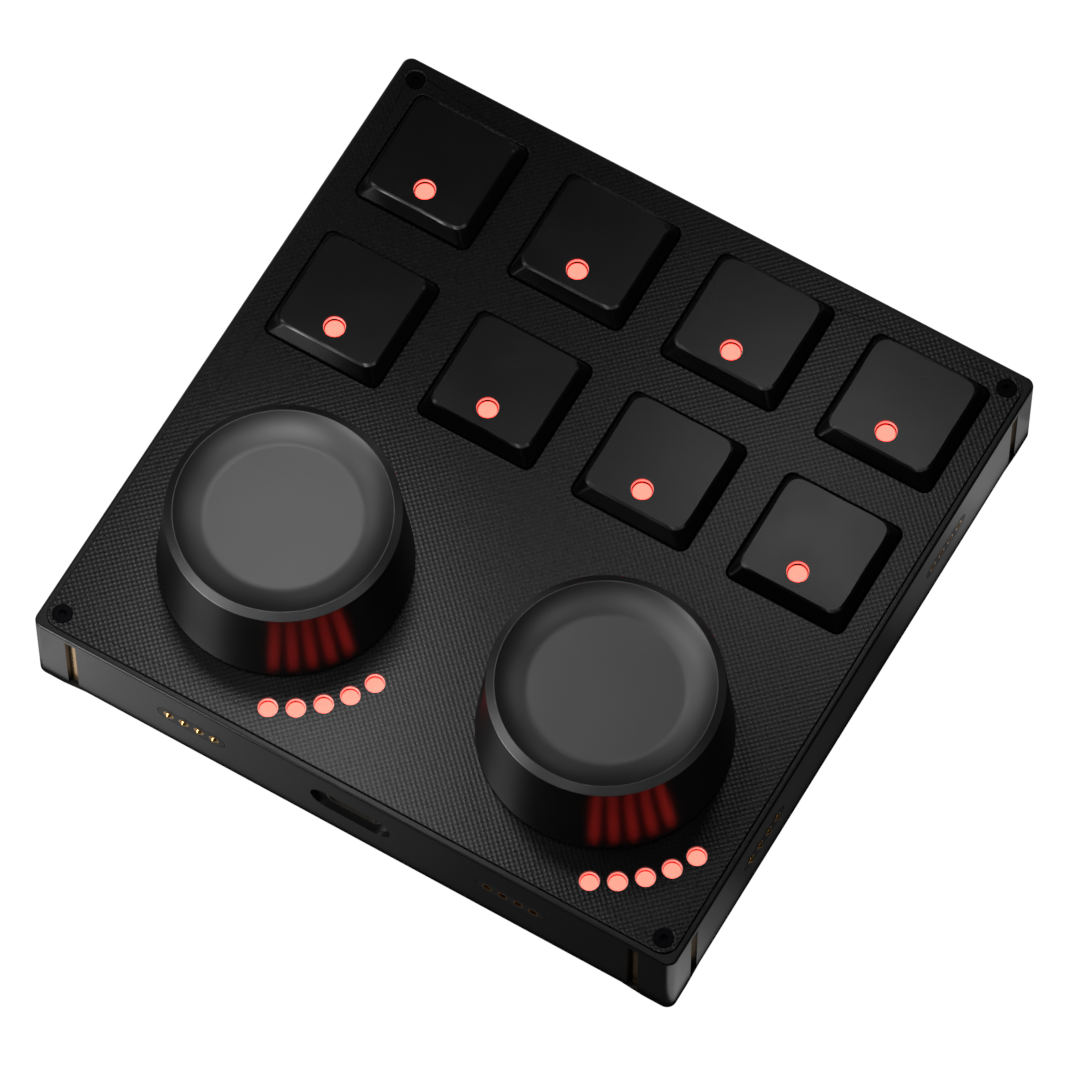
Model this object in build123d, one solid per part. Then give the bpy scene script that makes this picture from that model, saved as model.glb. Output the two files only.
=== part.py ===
from build123d import *
import math
import os

# A square desktop control module: eight backlit keys, two large endless knobs with an arc of lights
# in front of each, sprung contacts and magnets on all four sides, and one charging and data socket.
# Millimetres. +Z is up, the rest surface is z = 0, the socket's side faces -Y, and X = Y = 0 is the
# middle of the case.

# Case
case_side = 106.7
case_corner_radius = 1.5
case_height = 15.5
wall_thickness = 2.6
rim_width = 0.95
rim_round = 0.4
corner_thickness = 4.5
corner_length = 9.2
cover_thickness = 1.2
foot_length = 8.4
foot_ramp = 3.7
foot_standout = 0.8
post_diameter = 6.0
peg_diameter = 2.0

# Faceplate
plate_thickness = 1.6
plate_standout = 0.42
plate_gap = 0.1
plate_corner_radius = 2.4

# Case screws
screw_inset = 3.3
screw_head_diameter = 2.9
screw_head_height = 0.9
screw_shank_diameter = 1.6
screw_length = 5.0
screw_socket_diameter = 1.3
screw_socket_depth = 0.6

# Keys
key_margin = 14.47
key_columns = 4
key_rows = 2
key_travel = 2.5
keycap_base = 18.9
keycap_top = 16.7
keycap_rise = 3.05
keycap_skirt = 1.2
keycap_base_radius = 1.1
keycap_top_radius = 2.0
keycap_bevel = 0.3
keycap_wall = 1.3
keycap_top_wall = 1.3
keycap_gap = 0.3
key_boss_diameter = 5.6
cross_long = 4.0
cross_short = 1.2
key_window_offset = 5.0
key_window_diameter = 3.35
key_lens_diameter = 4.2
key_lens_thickness = 0.6
key_lens_stud_diameter = 2.8
key_lens_stud_height = 0.3

# Key switches
switch_side = 13.9
switch_height = 7.4
switch_floor = 0.9
switch_chamfer = 0.8
slider_length = 7.0
slider_width = 6.0
slider_flange_length = 9.0
slider_flange_height = 1.0
slide_clearance = 0.1
stop_clearance = 0.3
spring_pocket_diameter = 4.8
spring_outer_diameter = 4.4
spring_inner_diameter = 3.6
slider_roof = 0.8
led_slot_length = 5.0
led_slot_width = 2.6

# Main board
board_thickness = 1.6
board_clearance = 0.35
led_length = 2.0
led_width = 1.4
led_height = 0.8

# Knobs and their encoders
knob_side_margin = 26.66
knob_front_margin = 27.0
knob_base_diameter = 37.6
knob_shoulder_diameter = 34.3
knob_rim_diameter = 31.8
knob_dish_diameter = 22.0
knob_shoulder_height = 15.86
knob_height = 16.63
knob_dish_depth = 2.2
knob_dish_turn = 1.1
knob_dish_turn_deg = 16
knob_lift = 0.35
knob_foot_chamfer = 0.3
knob_bore_diameter = 31.0
knob_roof = 2.0
insert_rim = 1.6
insert_web = 2.2
insert_hub_diameter = 12.0
insert_rib = 1.2
insert_ribs = 6
insert_lift = 0.6
glue_clearance = 0.05
encoder_side = 12.4
bushing_diameter = 7.0
bushing_standout = 2.9
bushing_hole_clearance = 0.15
nut_across_flats = 10.0
nut_height = 2.0
nut_clearance = 0.05
nut_headroom = 1.4
shaft_diameter = 6.0
shaft_flat = 1.5
shaft_running_clearance = 0.05
shaft_flange_diameter = 9.0
shaft_flange_height = 1.2
shaft_flange_clearance = 0.3
shaft_top_gap = 0.6

# Arcs of lights in front of the knobs
arc_radius = 23.6
arc_mid_deg = -45.8
arc_step_deg = 9.8
arc_lights = 5
arc_hole_diameter = 3.0
guide_width = 3.6
guide_thickness = 2.0
guide_leg_diameter = 2.4
guide_led_gap = 0.4
guide_stud_diameter = 2.57
guide_stud_height = 0.6

# Contacts on the four sides
connector_axis = 8.3
connector_height = 3.26
contact_margin = 26.68
contact_pitch = 2.54
contacts_per_group = 4
contact_block_length = 11.2
contact_block_depth = 6.0
pocket_clearance = 0.1
barrel_diameter = 1.7
barrel_bore_diameter = 1.2
barrel_length = 4.6
barrel_floor = 0.5
pin_diameter = 1.1
pin_length = 3.2
pin_standout = 0.4
pin_nose = 0.35

# Magnets beside the corners
magnet_margin = 6.45
magnet_diameter = 2.9
magnet_bore_diameter = 3.0
magnet_skin = 0.65
magnet_window = 1.75
magnet_floor = 0.4
magnet_end_clearance = 0.1

# Socket
usb_width = 8.94
usb_wall = 0.3
usb_depth = 7.3
usb_tongue_width = 6.7
usb_tongue_thickness = 0.7
usb_tongue_setback = 0.8
usb_back_wall = 0.6
usb_recess_width = 13.3
usb_recess_height = 5.0
usb_recess_depth = 0.9

# Heights and half widths worked out from the sizes above
half_side = case_side / 2
inner_half = half_side - wall_thickness
cover_bottom = foot_standout
cover_top = cover_bottom + cover_thickness
rim_top = cover_bottom + case_height
plate_top = rim_top + plate_standout
plate_bottom = plate_top - plate_thickness
plate_side = case_side - 2 * (rim_width + plate_gap)
screw_at = half_side - screw_inset
key_pitch = (case_side - 2 * key_margin) / (key_columns - 1)
knob_x = half_side - knob_side_margin
knob_y = knob_front_margin - half_side
contact_offset = half_side - contact_margin
magnet_offset = half_side - magnet_margin

connector_z = cover_bottom + connector_axis
board_top = connector_z - connector_height / 2
board_bottom = board_top - board_thickness
led_top = board_top + led_height

magnet_bottom = cover_bottom + magnet_floor
magnet_top = plate_bottom - magnet_end_clearance
magnet_y = magnet_skin + magnet_bore_diameter / 2 - half_side

keycap_top_z = plate_top + keycap_rise
keycap_bottom_z = plate_top - keycap_skirt
keycap_ceiling_z = keycap_top_z - keycap_top_wall
switch_top = board_top + switch_height
switch_floor_z = board_top + switch_floor
slider_top = switch_top - stop_clearance
slider_bottom = switch_floor_z + stop_clearance + key_travel
switch_split = slider_bottom + slider_flange_height
spring_top = slider_top - slider_roof

knob_bottom_z = plate_top + knob_lift
knob_bore_top = plate_top + knob_height - knob_dish_depth - knob_roof
insert_bottom_z = knob_bottom_z + insert_lift
hub_bottom_z = plate_top + bushing_standout + nut_headroom
shaft_bottom_z = board_top + shaft_flange_clearance
shaft_flange_top = shaft_bottom_z + shaft_flange_height
shaft_top_z = knob_bore_top - insert_web - shaft_top_gap


def prism(sketch, bottom, top):
    """A flat outline raised from one height to another."""
    return extrude(Pos(0, 0, bottom) * sketch, top - bottom)


def disc(diameter, bottom, top, x=0, y=0):
    """An upright cylinder between two heights."""
    return prism(Pos(x, y) * Circle(diameter / 2), bottom, top)


def corners(distance_x, distance_y=None):
    """The four places at plus and minus the given distances."""
    far_y = distance_x if distance_y is None else distance_y
    return [(sx * distance_x, sy * far_y) for sx in (-1, 1) for sy in (-1, 1)]


def front_plane(x, z, depth=0):
    """A plane on the front wall, at a depth behind its face, whose normal points into the case."""
    return Plane(origin=(x, depth - half_side, z), x_dir=(1, 0, 0), z_dir=(0, 1, 0))


def front_slot(x, z, width, height, start, end):
    """A solid with round ends that runs into the front wall from one depth to another."""
    return extrude(front_plane(x, z, start) * SlotOverall(width, height), end - start)


def front_rod(x, z, diameter, start, end):
    """A round solid that runs into the front wall from one depth to another."""
    return extrude(front_plane(x, z, start) * Circle(diameter / 2), end - start)


def on_side(index, shape):
    """The front wall's shape turned to side 0 front, 1 right, 2 back or 3 left."""
    return Rot(0, 0, 90 * index) * shape


def key_places():
    """Centres of the keys: the back row from left to right, then the front row."""
    places = []
    for row in reversed(range(key_rows)):
        for column in range(key_columns):
            x = (column - (key_columns - 1) / 2) * key_pitch
            places.append((x, (row + 0.5) * key_pitch))
    return places


def knob_places():
    """Centres of the left and the right knob."""
    return {"left": (-knob_x, knob_y), "right": (knob_x, knob_y)}


def arc_places(centre):
    """Centres of the lights in front of one knob."""
    places = []
    for index in range(arc_lights):
        angle = math.radians(arc_mid_deg + (index - (arc_lights - 1) / 2) * arc_step_deg)
        places.append((centre[0] + arc_radius * math.cos(angle), centre[1] + arc_radius * math.sin(angle)))
    return places


def contact_places(offset):
    """Distances along the wall of the contacts in one group."""
    return [offset + (i - (contacts_per_group - 1) / 2) * contact_pitch for i in range(contacts_per_group)]


def post_places():
    """Centres of the posts that carry the main board, each between the pieces on it."""
    return [(-key_pitch, 0), (key_pitch, 0), (0, knob_y), (0, key_pitch)]


def at_places(shape, places):
    """Copies of one piece at several places, as one group of solids."""
    return Compound([Pos(x, y, 0) * shape for x, y in places])


def case_outline():
    return RectangleRounded(case_side, case_side, case_corner_radius)


def case_hollow(clearance=0.0):
    """The room inside the walls: a square whose corners step in round the thick corner walls."""
    outline = Rectangle(2 * (inner_half - clearance), 2 * (inner_half - clearance))
    depth = corner_thickness + clearance
    length = corner_length + clearance
    for sx, sy in corners(1):
        along_x = Pos(sx * (half_side - length / 2), sy * (half_side - depth / 2)) * Rectangle(length, depth)
        along_y = Pos(sx * (half_side - depth / 2), sy * (half_side - length / 2)) * Rectangle(depth, length)
        outline -= along_x + along_y
    return outline


def beside_corners(shape):
    """Copies of a piece on the front wall's middle, moved to both ends of all four walls."""
    return [on_side(side, Pos(x, 0, 0) * shape) for side in range(4) for x in (-magnet_offset, magnet_offset)]


def magnet_pocket(bore_bottom, slot_bottom, top):
    """A bore for a magnet, with the narrow slot that opens it through the wall."""
    depth = magnet_y + half_side
    slot = Pos(0, depth / 2 - half_side) * Rectangle(magnet_window, depth)
    return disc(magnet_bore_diameter, bore_bottom, top, 0, magnet_y) + prism(slot, slot_bottom, top)


def make_side_frame():
    block = prism(case_outline(), cover_top, rim_top)
    frame = fillet(block.edges().group_by(Axis.Z)[-1], rim_round)
    seat_side = plate_side + 2 * plate_gap
    seat_radius = plate_corner_radius + plate_gap
    frame -= prism(RectangleRounded(seat_side, seat_side, seat_radius), plate_bottom, rim_top)
    frame -= prism(case_hollow(), cover_top, plate_bottom)
    for x, y in corners(screw_at):
        frame -= disc(screw_shank_diameter, plate_bottom - screw_length, plate_bottom, x, y)
        frame -= disc(screw_shank_diameter, cover_top, cover_top + screw_length, x, y)
    pocket_length = contact_block_length + 2 * pocket_clearance
    pocket_height = connector_height + 2 * pocket_clearance
    for side in range(4):
        for offset in (-contact_offset, contact_offset):
            frame -= on_side(side, front_slot(offset, connector_z, pocket_length, pocket_height,
                                              0, wall_thickness))
    for pocket in beside_corners(magnet_pocket(cover_top, cover_top, plate_bottom)):
        frame -= pocket
    frame -= front_slot(0, connector_z, usb_recess_width, usb_recess_height, 0, usb_recess_depth)
    frame -= front_slot(0, connector_z, usb_width + 2 * pocket_clearance,
                        connector_height + 2 * pocket_clearance, 0, wall_thickness)
    return frame


def make_bottom_cover():
    cover = prism(case_outline(), cover_bottom, cover_top)
    for x, y in post_places():
        cover += disc(post_diameter, cover_top, board_bottom, x, y)
        cover += disc(peg_diameter, board_bottom, board_top, x, y)
    for x, y in corners(screw_at):
        cover -= Pos(x, y, cover_bottom) * Rot(180, 0, 0) * screw_clearance()
    for pocket in beside_corners(magnet_pocket(magnet_bottom, cover_bottom, cover_top)):
        cover -= pocket
    return cover


def make_rubber_feet():
    """Pads under the corners, flush with the walls, whose inner ends run out in a slope."""
    feet = []
    for sx, sy in corners(1):
        outlines = []
        for z, length in ((0, foot_length - foot_ramp), (cover_bottom, foot_length)):
            middle = half_side - length / 2
            outlines.append(Pos(sx * middle, sy * middle, z) * Rectangle(length, length))
        feet.append(loft(outlines, ruled=True) & prism(case_outline(), 0, cover_bottom))
    return Compound(feet)


def screw_clearance():
    """The hole for a countersunk screw whose head ends flush with z = 0 and points down."""
    head = Pos(0, 0, -screw_head_height / 2) * Cone(
        screw_shank_diameter / 2 + slide_clearance, screw_head_diameter / 2 + slide_clearance,
        screw_head_height)
    return head + disc(screw_shank_diameter + 2 * slide_clearance, -screw_length, 0)


def make_screw():
    """A countersunk screw with a six-sided socket, its head flush with z = 0, pointing down."""
    head = Pos(0, 0, -screw_head_height / 2) * Cone(
        screw_shank_diameter / 2, screw_head_diameter / 2, screw_head_height)
    shank = disc(screw_shank_diameter - 2 * glue_clearance, -screw_length, 0)
    socket = prism(RegularPolygon(screw_socket_diameter / 2, 6), -screw_socket_depth, 0)
    return head + shank - socket


def make_case_screws():
    screws = [Pos(x, y, plate_top) * make_screw() for x, y in corners(screw_at)]
    screws += [Pos(x, y, cover_bottom) * Rot(180, 0, 0) * make_screw() for x, y in corners(screw_at)]
    return Compound(screws)


def make_faceplate():
    outline = RectangleRounded(plate_side, plate_side, plate_corner_radius)
    opening_side = keycap_base + 2 * keycap_gap
    opening_radius = keycap_base_radius + keycap_gap
    for x, y in key_places():
        outline -= Pos(x, y) * RectangleRounded(opening_side, opening_side, opening_radius)
    for centre in knob_places().values():
        outline -= Pos(*centre) * Circle(bushing_diameter / 2 + bushing_hole_clearance)
        for x, y in arc_places(centre):
            outline -= Pos(x, y) * Circle(arc_hole_diameter / 2)
    plate = prism(outline, plate_bottom, plate_top)
    for x, y in corners(screw_at):
        plate -= Pos(x, y, plate_top) * screw_clearance()
    return plate


def make_main_board():
    outline = case_hollow(board_clearance)
    for x, y in post_places():
        outline -= Pos(x, y) * Circle(peg_diameter / 2 + slide_clearance)
    return prism(outline, board_bottom, board_top)


def make_board_leds():
    leds = []
    for x, y in key_places():
        leds.append(Pos(x, y - key_window_offset) * Rectangle(led_length, led_width))
    for centre in knob_places().values():
        leds += [Pos(x, y) * Rectangle(led_width, led_width) for x, y in arc_places(centre)]
    return Compound([prism(led, board_top, led_top) for led in leds])


def keycap_shell(side_bottom, side_top, radius_bottom, radius_top, bottom, knee, top):
    """A square block with rounded corners, upright up to the knee and tapered above it."""
    foot = RectangleRounded(side_bottom, side_bottom, radius_bottom)
    head = RectangleRounded(side_top, side_top, radius_top)
    return prism(foot, bottom, knee) + loft([Pos(0, 0, knee) * foot, Pos(0, 0, top) * head], ruled=True)


def cross_outline(clearance=0.0):
    """The cross-shaped post that joins a key's slider to its cap."""
    long = cross_long + 2 * clearance
    short = cross_short + 2 * clearance
    return Rectangle(long, short) + Rectangle(short, long)


def make_keycap():
    outer = keycap_shell(keycap_base, keycap_top, keycap_base_radius, keycap_top_radius,
                         keycap_bottom_z, plate_top, keycap_top_z)
    outer = chamfer(outer.edges().group_by(Axis.Z)[-1], keycap_bevel)
    share = (keycap_ceiling_z - plate_top) / (keycap_top_z - plate_top)
    side_at_ceiling = keycap_base + (keycap_top - keycap_base) * share
    inner_radius = keycap_base_radius / 2
    cap = outer - keycap_shell(keycap_base - 2 * keycap_wall, side_at_ceiling - 2 * keycap_wall,
                               inner_radius, inner_radius, keycap_bottom_z, plate_top, keycap_ceiling_z)
    cap += disc(key_boss_diameter, slider_top, keycap_ceiling_z)
    cap -= prism(cross_outline(glue_clearance), slider_top, keycap_ceiling_z)
    cap -= disc(key_window_diameter, keycap_ceiling_z, keycap_top_z, 0, -key_window_offset)
    return cap


def make_key_lens():
    """The light's lens: a flange under the cap's ceiling with a stud that stands up into the window."""
    lens = disc(key_lens_diameter, keycap_ceiling_z - key_lens_thickness, keycap_ceiling_z,
                0, -key_window_offset)
    return lens + disc(key_lens_stud_diameter, keycap_ceiling_z, keycap_ceiling_z + key_lens_stud_height,
                       0, -key_window_offset)


def make_key_stem():
    stem = prism(Rectangle(slider_length, slider_width), slider_bottom, slider_top)
    stem += prism(Rectangle(slider_flange_length, slider_width), slider_bottom, switch_split)
    stem -= disc(spring_pocket_diameter, slider_bottom, spring_top)
    return stem + prism(cross_outline(), slider_top, keycap_ceiling_z - stop_clearance)


def make_key_spring():
    spring = disc(spring_outer_diameter, switch_floor_z, spring_top)
    return spring - disc(spring_inner_diameter, switch_floor_z, spring_top)


def switch_outline():
    """A switch seen from above, with the slot that its light shines through."""
    slot = Pos(0, -key_window_offset) * Rectangle(led_slot_length, led_slot_width)
    return Rectangle(switch_side, switch_side) - slot


def slider_channel(length):
    """The opening that a part of the slider with the given length runs in."""
    return Rectangle(length + 2 * slide_clearance, slider_width + 2 * slide_clearance)


def make_switch_base():
    base = prism(switch_outline(), board_top, switch_split)
    return base - prism(slider_channel(slider_flange_length), switch_floor_z, switch_split)


def make_switch_top():
    block = prism(Rectangle(switch_side, switch_side), switch_split, switch_top)
    block = chamfer(block.edges().group_by(Axis.Z)[-1], switch_chamfer)
    return block & prism(switch_outline() - slider_channel(slider_length), switch_split, switch_top)


def knob_outline():
    """Half of the knob's section: a tapered wall, a bevelled shoulder and a dish with a flat floor."""
    base = knob_base_diameter / 2
    shoulder = knob_shoulder_diameter / 2
    rim = knob_rim_diameter / 2
    dish = knob_dish_diameter / 2
    bore = knob_bore_diameter / 2
    lean = (base - shoulder) / (plate_top + knob_shoulder_height - knob_bottom_z)
    rim_z = plate_top + knob_height
    dish_z = rim_z - knob_dish_depth
    wall = Polyline(
        (0, dish_z), (0, knob_bore_top), (bore, knob_bore_top), (bore, knob_bottom_z),
        (base - knob_foot_chamfer, knob_bottom_z),
        (base - lean * knob_foot_chamfer, knob_bottom_z + knob_foot_chamfer),
        (shoulder, plate_top + knob_shoulder_height), (rim, rim_z))
    turn_rise = knob_dish_turn * math.tan(math.radians(knob_dish_turn_deg / 2))
    turn = TangentArc((dish, dish_z), (dish + knob_dish_turn, dish_z + turn_rise), tangent=(1, 0))
    slope = TangentArc(turn @ 1, (rim, rim_z), tangent=turn % 1)
    floor = Line((dish, dish_z), (0, dish_z))
    return Plane.XZ * make_face(wall + slope + turn + floor)


def make_knob():
    return revolve(knob_outline(), Axis.Z)


def shaft_outline(clearance=0.0):
    """A round shaft with one flat, grown by a clearance."""
    radius = shaft_diameter / 2 + clearance
    flat_y = shaft_diameter / 2 - shaft_flat + clearance
    keep = Pos(0, flat_y - radius) * Rectangle(2 * radius, 2 * radius)
    return Circle(radius) & keep


def make_knob_insert():
    outer = knob_bore_diameter - 2 * glue_clearance
    inner = outer - 2 * insert_rim
    web_bottom = knob_bore_top - insert_web
    insert = disc(outer, insert_bottom_z, knob_bore_top) - disc(inner, insert_bottom_z, web_bottom)
    insert += disc(insert_hub_diameter, hub_bottom_z, web_bottom)
    rib_length = (inner - insert_hub_diameter) / 2 + insert_rim
    rib_middle = (inner + insert_hub_diameter) / 4
    rib = prism(Pos(rib_middle, 0) * Rectangle(rib_length, insert_rib), hub_bottom_z, web_bottom)
    for index in range(insert_ribs):
        insert += Rot(0, 0, 360 / insert_ribs * index) * rib
    return insert - prism(shaft_outline(glue_clearance), hub_bottom_z, shaft_top_z + shaft_top_gap)


def make_encoder_shaft():
    shaft = disc(shaft_flange_diameter, shaft_bottom_z, shaft_flange_top)
    shaft += disc(shaft_diameter, shaft_flange_top, hub_bottom_z)
    return shaft + prism(shaft_outline(), hub_bottom_z, shaft_top_z)


def make_encoder_body():
    """The encoder's housing, open at its foot, where the shaft's flange turns over the board."""
    bushing_top = plate_top + bushing_standout
    body = prism(Rectangle(encoder_side, encoder_side), board_top, plate_bottom)
    body += disc(bushing_diameter, plate_bottom, bushing_top)
    chamber = shaft_flange_diameter + 2 * shaft_flange_clearance
    body -= disc(chamber, board_top, shaft_flange_top + shaft_running_clearance)
    return body - disc(shaft_diameter + 2 * shaft_running_clearance, shaft_flange_top, bushing_top)


def make_encoder_nut():
    hexagon = RegularPolygon(nut_across_flats / 2, 6, major_radius=False)
    ring = hexagon - Circle(bushing_diameter / 2 + nut_clearance)
    return prism(ring, plate_top, plate_top + nut_height)


def make_light_guide():
    """The arc-shaped bar in front of a knob at the middle, with a leg and a stud at each light."""
    bar_bottom = plate_bottom - guide_thickness
    end_deg = math.degrees(guide_width / 2 / arc_radius)
    sweep_deg = (arc_lights - 1) * arc_step_deg + 2 * end_deg
    start_deg = arc_mid_deg - sweep_deg / 2
    reach = arc_radius + guide_width
    steps = 3
    fan = [(0, 0)]
    for index in range(steps + 1):
        angle = math.radians(start_deg + sweep_deg * index / steps)
        spread = reach / math.cos(math.radians(sweep_deg / steps / 2))
        fan.append((spread * math.cos(angle), spread * math.sin(angle)))
    ring = Circle(arc_radius + guide_width / 2) - Circle(arc_radius - guide_width / 2)
    bar = ring & make_face(Polyline(*fan, close=True))
    guide = prism(bar, bar_bottom, plate_bottom)
    for x, y in arc_places((0, 0)):
        guide += disc(guide_leg_diameter, led_top + guide_led_gap, bar_bottom, x, y)
        guide += disc(guide_stud_diameter, plate_bottom, plate_bottom + guide_stud_height, x, y)
    return guide


def make_usb_shell():
    inner_width = usb_width - 2 * usb_wall
    inner_height = connector_height - 2 * usb_wall
    back = usb_recess_depth + usb_depth
    shell = front_slot(0, connector_z, usb_width, connector_height, usb_recess_depth, back)
    return shell - front_slot(0, connector_z, inner_width, inner_height, usb_recess_depth, back - usb_back_wall)


def make_usb_tongue():
    start = usb_recess_depth + usb_tongue_setback
    end = usb_recess_depth + usb_depth - usb_back_wall
    outline = front_plane(0, connector_z, start) * Rectangle(usb_tongue_width, usb_tongue_thickness)
    return extrude(outline, end - start)


def each_contact_hole():
    """Side number and place along the wall of every contact: the sprung ones first, then the fixed."""
    holes = []
    for side in range(4):
        for offset in (-contact_offset, contact_offset):
            holes += [(side, x) for x in contact_places(offset)]
    return holes


def make_contact_blocks():
    blocks = []
    for side in range(4):
        for offset in (-contact_offset, contact_offset):
            block = front_slot(offset, connector_z, contact_block_length, connector_height,
                               0, contact_block_depth)
            for x in contact_places(offset):
                block -= front_rod(x, connector_z, barrel_diameter, 0, contact_block_depth)
            blocks.append(on_side(side, block))
    return Compound(blocks)


def make_contact_barrels():
    barrels = []
    for side, x in each_contact_hole():
        barrel = front_rod(x, connector_z, barrel_diameter, 0, barrel_length)
        barrel -= front_rod(x, connector_z, barrel_bore_diameter, 0, barrel_length - barrel_floor)
        barrels.append(on_side(side, barrel))
    return Compound(barrels)


def make_contact_pins(side):
    pins = []
    for x in contact_places(-contact_offset):
        pin = front_rod(x, connector_z, pin_diameter, -pin_standout, pin_length)
        pin = chamfer(pin.edges().group_by(Axis.Y)[0], pin_nose)
        pins.append(on_side(side, pin))
    return Compound(pins)


def make_magnets():
    return Compound(beside_corners(disc(magnet_diameter, magnet_bottom, magnet_top, 0, magnet_y)))


def build_parts():
    """Every piece of the module under its own name."""
    parts = {
        "bottom_cover": make_bottom_cover(),
        "rubber_feet": make_rubber_feet(),
        "side_frame": make_side_frame(),
        "faceplate": make_faceplate(),
        "case_screws": make_case_screws(),
        "main_board": make_main_board(),
        "board_leds": make_board_leds(),
        "usb_shell": make_usb_shell(),
        "usb_tongue": make_usb_tongue(),
        "contact_blocks": make_contact_blocks(),
        "contact_barrels": make_contact_barrels(),
        "magnets": make_magnets(),
        "switch_bases": at_places(make_switch_base(), key_places()),
        "switch_tops": at_places(make_switch_top(), key_places()),
        "encoder_nuts": at_places(make_encoder_nut(), knob_places().values()),
        "light_guides": at_places(make_light_guide(), knob_places().values()),
    }
    for side, name in enumerate(("front", "right", "back", "left")):
        parts[f"contact_pins_{name}"] = make_contact_pins(side)
    pieces = {
        "keycap": make_keycap(),
        "key_lens": make_key_lens(),
        "key_stem": make_key_stem(),
        "key_spring": make_key_spring(),
    }
    for number, (x, y) in enumerate(key_places(), start=1):
        for name, piece in pieces.items():
            parts[f"{name}_{number}"] = Pos(x, y, 0) * piece
    for side, (x, y) in knob_places().items():
        place = Pos(x, y, 0)
        parts[f"knob_{side}"] = place * make_knob()
        parts[f"knob_insert_{side}"] = place * make_knob_insert()
        parts[f"encoder_shaft_{side}"] = place * make_encoder_shaft()
        parts[f"encoder_body_{side}"] = place * make_encoder_body()
    return parts


def main():
    os.makedirs("parts", exist_ok=True)
    for name, shape in build_parts().items():
        export_step(shape, f"parts/{name}.step")


if __name__ == "__main__":
    main()
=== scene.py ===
"""Looks for a square desktop control module: finishes, fine shapes, studio and camera.

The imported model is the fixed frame. Each sub-assembly is a class that holds its sizes, builds the
pieces that the solids only stand in for, and dresses every piece in the finish of its real
material. Sizes are in millimetres, apart from the studio's, which are in metres like Blender's.
"""

from __future__ import annotations

import logging
import math
import re
from dataclasses import dataclass
from enum import Enum, IntEnum
from typing import Sequence

import bpy
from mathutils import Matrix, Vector

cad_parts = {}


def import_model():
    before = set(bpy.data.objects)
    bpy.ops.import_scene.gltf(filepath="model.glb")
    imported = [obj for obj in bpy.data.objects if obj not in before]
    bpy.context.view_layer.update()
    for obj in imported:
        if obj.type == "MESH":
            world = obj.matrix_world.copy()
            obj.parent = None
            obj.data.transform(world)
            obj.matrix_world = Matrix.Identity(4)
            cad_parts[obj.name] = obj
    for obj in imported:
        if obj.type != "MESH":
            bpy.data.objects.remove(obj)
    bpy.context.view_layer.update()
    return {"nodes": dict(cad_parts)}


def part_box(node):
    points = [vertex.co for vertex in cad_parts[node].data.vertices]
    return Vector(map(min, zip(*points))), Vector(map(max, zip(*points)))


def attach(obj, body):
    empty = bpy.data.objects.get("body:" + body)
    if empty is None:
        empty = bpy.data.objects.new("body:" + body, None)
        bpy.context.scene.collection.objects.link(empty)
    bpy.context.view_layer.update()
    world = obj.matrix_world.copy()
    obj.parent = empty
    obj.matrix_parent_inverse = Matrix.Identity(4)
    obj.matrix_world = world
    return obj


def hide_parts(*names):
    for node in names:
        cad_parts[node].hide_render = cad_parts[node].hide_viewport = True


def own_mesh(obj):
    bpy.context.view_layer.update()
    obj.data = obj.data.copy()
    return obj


LOG = logging.getLogger("control_module")
MM = 0.001
# The colour sockets of a mix node, which has others of the same names.
MIX_FIRST, MIX_SECOND, MIX_RESULT = 6, 7, 2

Colour = tuple[float, float, float, float]
Point = tuple[float, float, float]
Pair = tuple[float, float]
Tones = tuple[str, str]
Face = tuple[int, ...]
Tree = bpy.types.NodeTree
Socket = bpy.types.NodeSocket


class Side(Enum):
    """The four walls of the case."""

    FRONT = "front"
    RIGHT = "right"
    BACK = "back"
    LEFT = "left"


class Hand(Enum):
    """The two knobs, as seen from the front."""

    LEFT = "left"
    RIGHT = "right"


class Band(IntEnum):
    """The bands of a turned knob, in the order of their finishes."""

    SIDE = 0
    CHAMFER = 1
    DISH = 2


def linear(code: str) -> Colour:
    """Turns an sRGB hex value into Blender's linear colour.

    Args:
        code: A value such as "1c1c1e".

    Returns:
        Red, green, blue and an alpha of 1.
    """
    parts = [int(code[i : i + 2], 16) / 255 for i in (0, 2, 4)]
    steps = [c / 12.92 if c <= 0.04045 else ((c + 0.055) / 1.055) ** 2.4 for c in parts]
    return (steps[0], steps[1], steps[2], 1.0)


def empty_tree(owner: bpy.types.Material | bpy.types.World) -> Tree:
    """Gives a new material or world a node tree with nothing in it.

    Args:
        owner: The material or world.

    Returns:
        Its node tree.
    """
    owner.use_nodes = True
    owner.node_tree.nodes.clear()
    return owner.node_tree


def add_node(
    tree: Tree,
    kind: str,
    inputs: dict[str | int, object] | None = None,
    **settings: object,
) -> bpy.types.Node:
    """Adds one node with its settings, values and links.

    Args:
        tree: The node tree that gets the node.
        kind: The node's type name.
        inputs: Values for its sockets by name or number, where an output socket is linked.
        **settings: Properties of the node itself.

    Returns:
        The new node.
    """
    node = tree.nodes.new(kind)
    for name, value in settings.items():
        setattr(node, name, value)
    for name, value in (inputs or {}).items():
        if isinstance(value, Socket):
            tree.links.new(value, node.inputs[name])
        else:
            node.inputs[name].default_value = value
    return node


@dataclass(frozen=True)
class Grain:
    """An even random grain.

    Attributes:
        size_mm: The size of one grain.
        layers: How many finer layers lie on it.
    """

    size_mm: float
    layers: float = 2.0


Grains = tuple[Grain, ...]


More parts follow.
